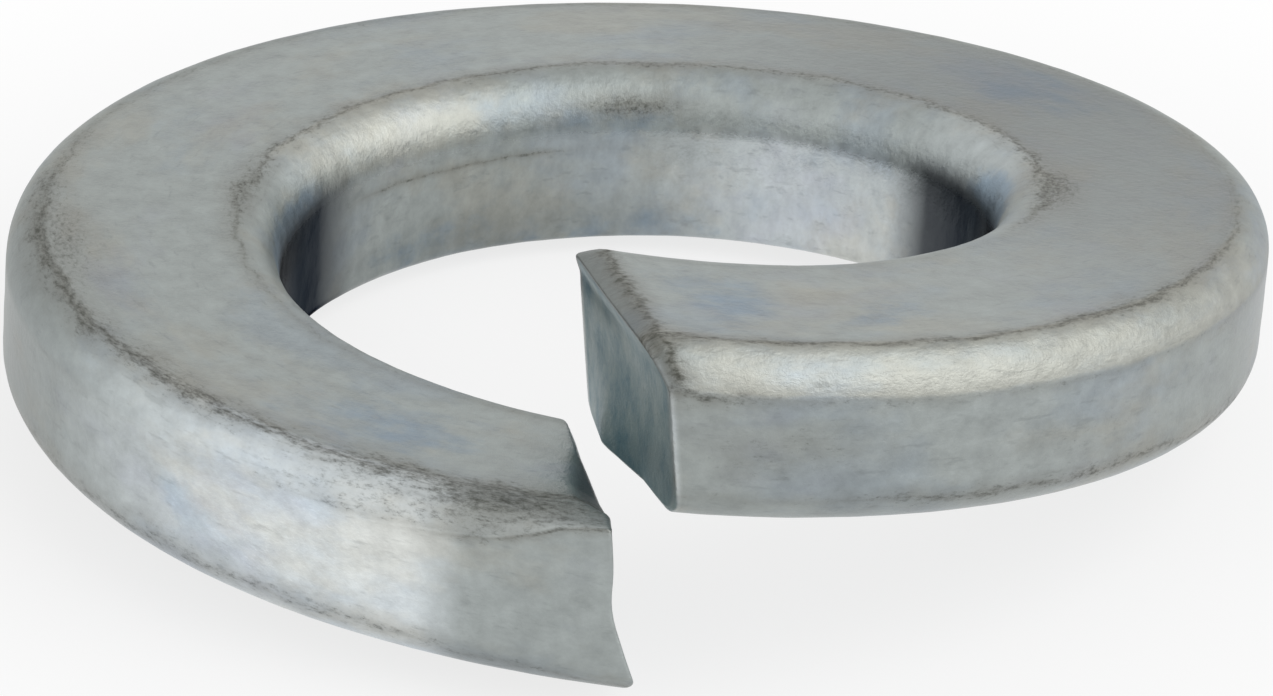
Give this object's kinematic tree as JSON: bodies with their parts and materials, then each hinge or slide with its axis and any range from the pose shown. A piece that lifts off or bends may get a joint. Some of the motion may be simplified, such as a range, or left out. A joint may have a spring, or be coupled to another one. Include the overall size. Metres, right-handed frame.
{
  "type": "spring lock washer",
  "caption": "Split spring ring of rounded wire, coiled left-hand with sheared ends standing apart, for locking under a nut or bolt head.",
  "frame": {"origin": "centre of the hole, halfway up the coil", "axes": "+Z along the hole towards the side of the upper end, -Y towards the gap between the ends, with the upper end on the +X side of the gap"},
  "size_m": [0.0144, 0.0144, 0.0041],
  "materials": {
    "zinc_plate": "bright zinc plate over spring steel, satin, slightly mottled, dull along the rolled edges"
  },
  "bodies": {
    "root": {"washer": "zinc_plate"}
  },
  "joints": []
}
